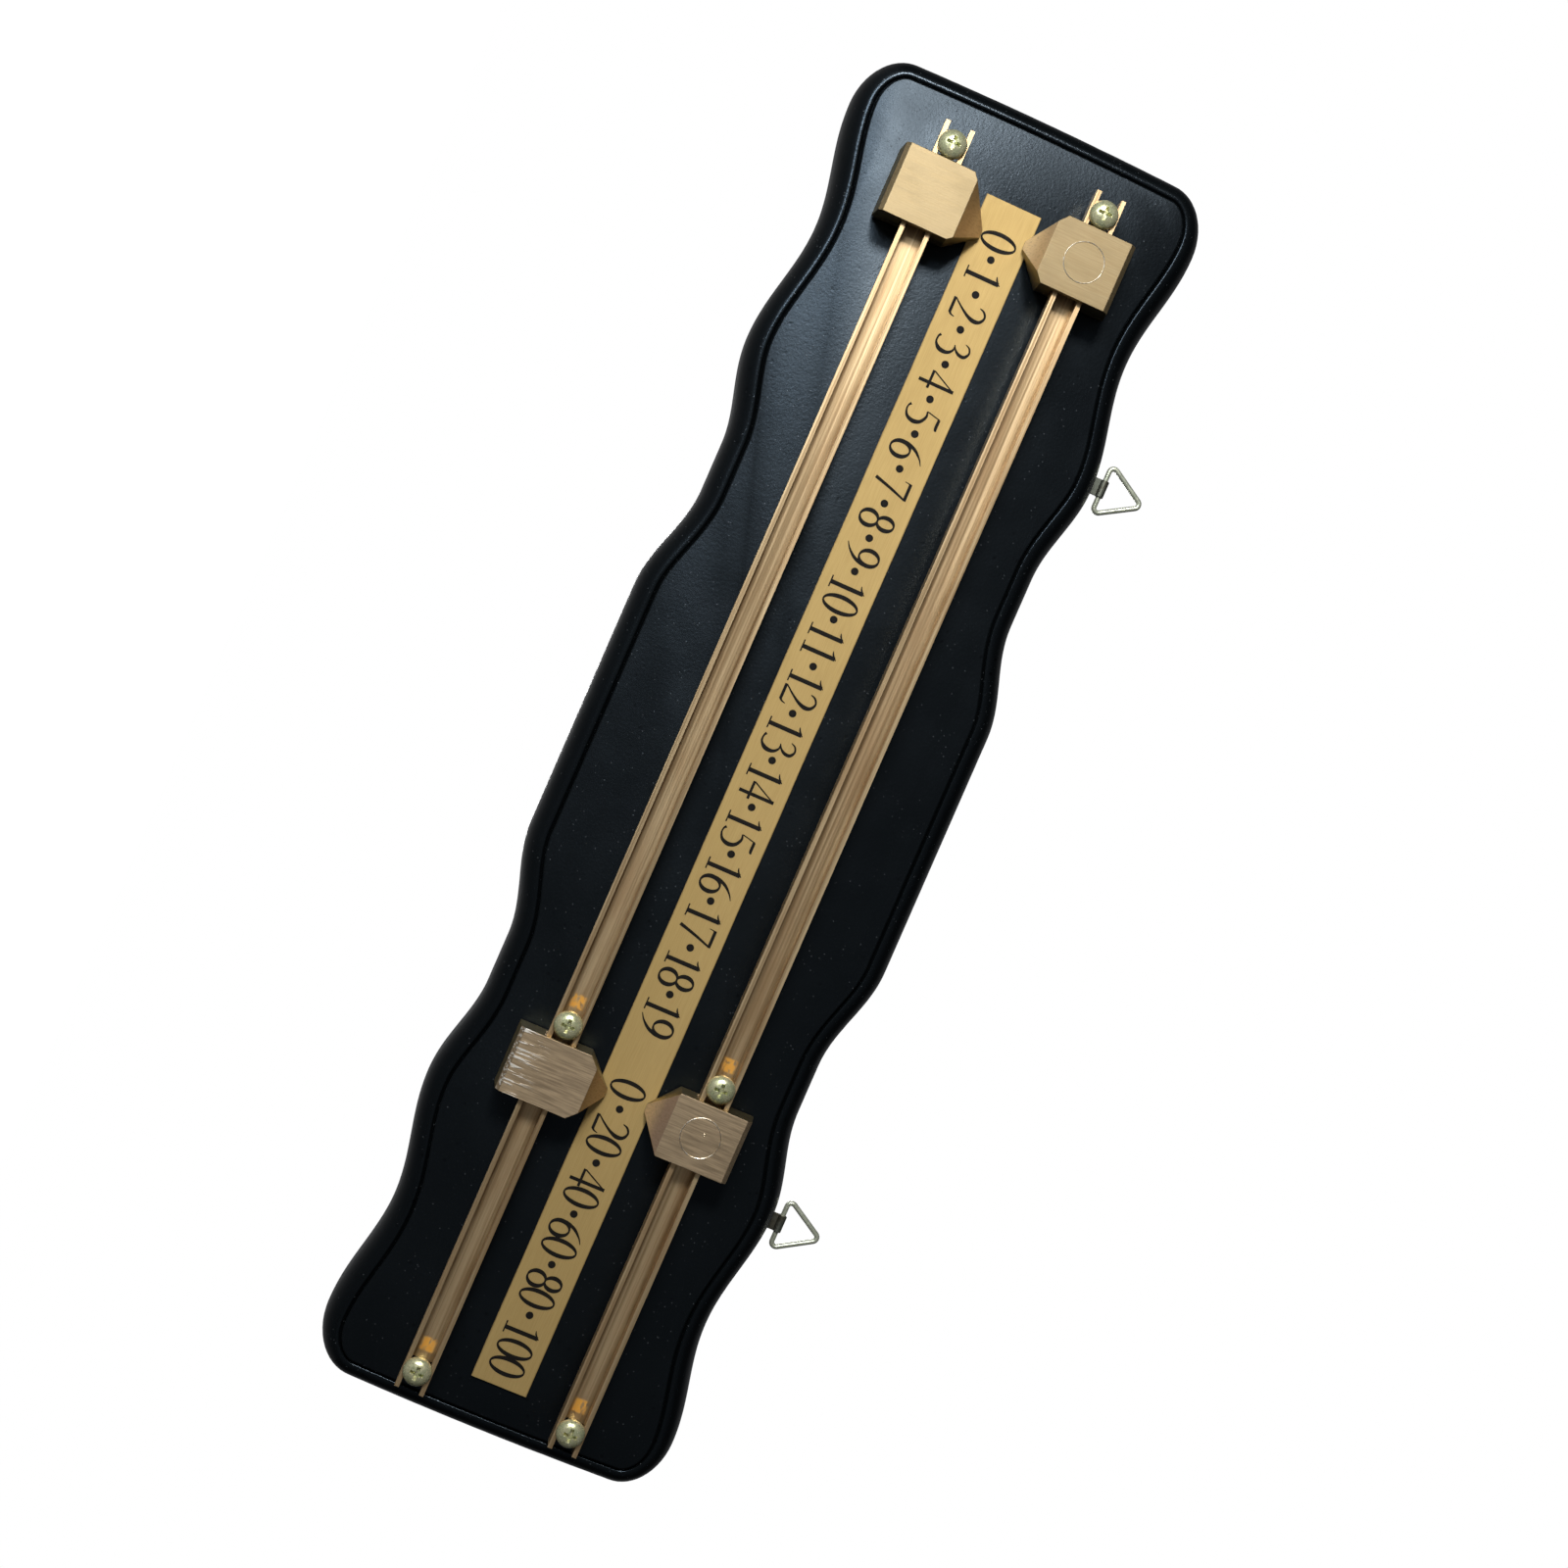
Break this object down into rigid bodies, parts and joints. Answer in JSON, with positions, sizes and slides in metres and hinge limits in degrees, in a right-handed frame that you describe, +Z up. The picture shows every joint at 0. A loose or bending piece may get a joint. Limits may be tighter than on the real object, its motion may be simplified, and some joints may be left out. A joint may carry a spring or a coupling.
{
  "type": "billiards scoring board",
  "caption": "Wall-hung scoring plaque: sliding brass pointers on grooved rails above and below a printed number strip, with wire hanging rings on the back.",
  "frame": {"origin": "centre of the plaque's flat back face, which lies in the plane Y = 0", "axes": "+X along the printed scale in reading direction, +Z up towards the hanging rings, -Y out of the printed face"},
  "size_m": [0.4, 0.032, 0.1237],
  "materials": {
    "black_paint": "satin black paint",
    "gold_plate": "satin gold strip with black print",
    "rail_brass": "drawn brass with lengthwise streaks",
    "pointer_brass": "brushed brass",
    "screw_plating": "bright yellow plating",
    "hanger_nickel": "nickel-plated steel"
  },
  "bodies": {
    "board": {"backboard": "black_paint", "score_plate": "gold_plate", "upper_rail": "rail_brass", "lower_rail": "rail_brass", "upper_rail_screw_left": "screw_plating", "upper_rail_screw_mid": "screw_plating", "upper_rail_screw_right": "screw_plating", "lower_rail_screw_left": "screw_plating", "lower_rail_screw_mid": "screw_plating", "lower_rail_screw_right": "screw_plating", "left_hanger_strap": "hanger_nickel", "right_hanger_strap": "hanger_nickel", "left_hanger_screw": "hanger_nickel", "right_hanger_screw": "hanger_nickel"},
    "upper_units": {"upper_units_pointer": "pointer_brass", "upper_units_stud": "pointer_brass"},
    "lower_units": {"lower_units_pointer": "pointer_brass", "lower_units_stud": "pointer_brass"},
    "upper_twenties": {"upper_twenties_pointer": "pointer_brass", "upper_twenties_stud": "pointer_brass"},
    "lower_twenties": {"lower_twenties_pointer": "pointer_brass", "lower_twenties_stud": "pointer_brass"},
    "left_ring": {"left_hanger_ring": "hanger_nickel"},
    "right_ring": {"right_hanger_ring": "hanger_nickel"}
  },
  "joints": [
    {"name": "upper_units_slide", "type": "slide", "parent": "board", "child": "upper_units", "axis": [1, 0, 0], "range_m": [0, 0.2309]},
    {"name": "lower_units_slide", "type": "slide", "parent": "board", "child": "lower_units", "axis": [1, 0, 0], "range_m": [0, 0.2309]},
    {"name": "upper_twenties_slide", "type": "slide", "parent": "board", "child": "upper_twenties", "axis": [1, 0, 0], "range_m": [-0.0004, 0.0752]},
    {"name": "lower_twenties_slide", "type": "slide", "parent": "board", "child": "lower_twenties", "axis": [1, 0, 0], "range_m": [-0.0004, 0.0752]},
    {"name": "left_ring_swing", "type": "hinge", "parent": "board", "child": "left_ring", "pos_m": [-0.115, 0.001, 0.0567], "axis": [1, 0, 0], "range_deg": [-155, 100]},
    {"name": "right_ring_swing", "type": "hinge", "parent": "board", "child": "right_ring", "pos_m": [0.115, 0.001, 0.0567], "axis": [1, 0, 0], "range_deg": [-155, 100]}
  ]
}
